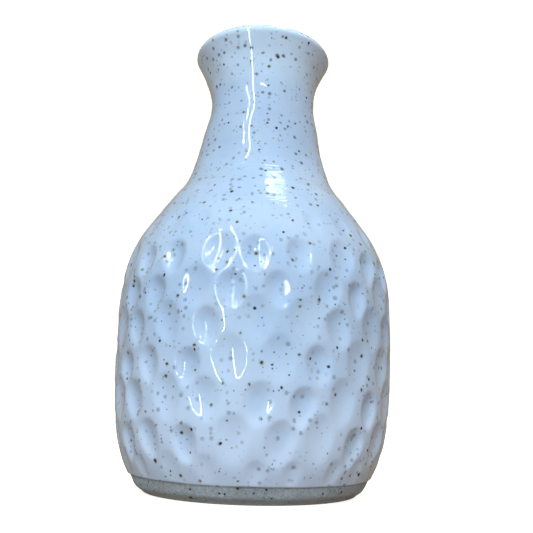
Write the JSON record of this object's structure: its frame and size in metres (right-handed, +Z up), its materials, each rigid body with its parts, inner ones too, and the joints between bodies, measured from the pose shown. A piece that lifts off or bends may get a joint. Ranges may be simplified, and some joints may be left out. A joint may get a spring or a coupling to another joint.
{
  "type": "bud vase",
  "caption": "Small narrow-necked stoneware vase with a dimple-carved round body, flared lip and bare clay foot, for a single flower stem or a small posy.",
  "frame": {"origin": "middle of the foot, on the plane that the vase stands on", "axes": "+Z up along the vase's axis of revolution, from the foot to the lip; +X and +Y are any two directions square to it, and -Y faces the viewer"},
  "size_m": [0.074, 0.0739, 0.125],
  "materials": {
    "stoneware": "bare fired speckled clay, matte, fine-grained",
    "outer_glaze": "glossy pale blue-white glaze with dark iron specks",
    "liner_glaze": "glossy pale liner glaze with fewer specks"
  },
  "bodies": {
    "root": {"stoneware_body": "stoneware", "outer_glaze": "outer_glaze", "liner_glaze": "liner_glaze"}
  },
  "joints": []
}
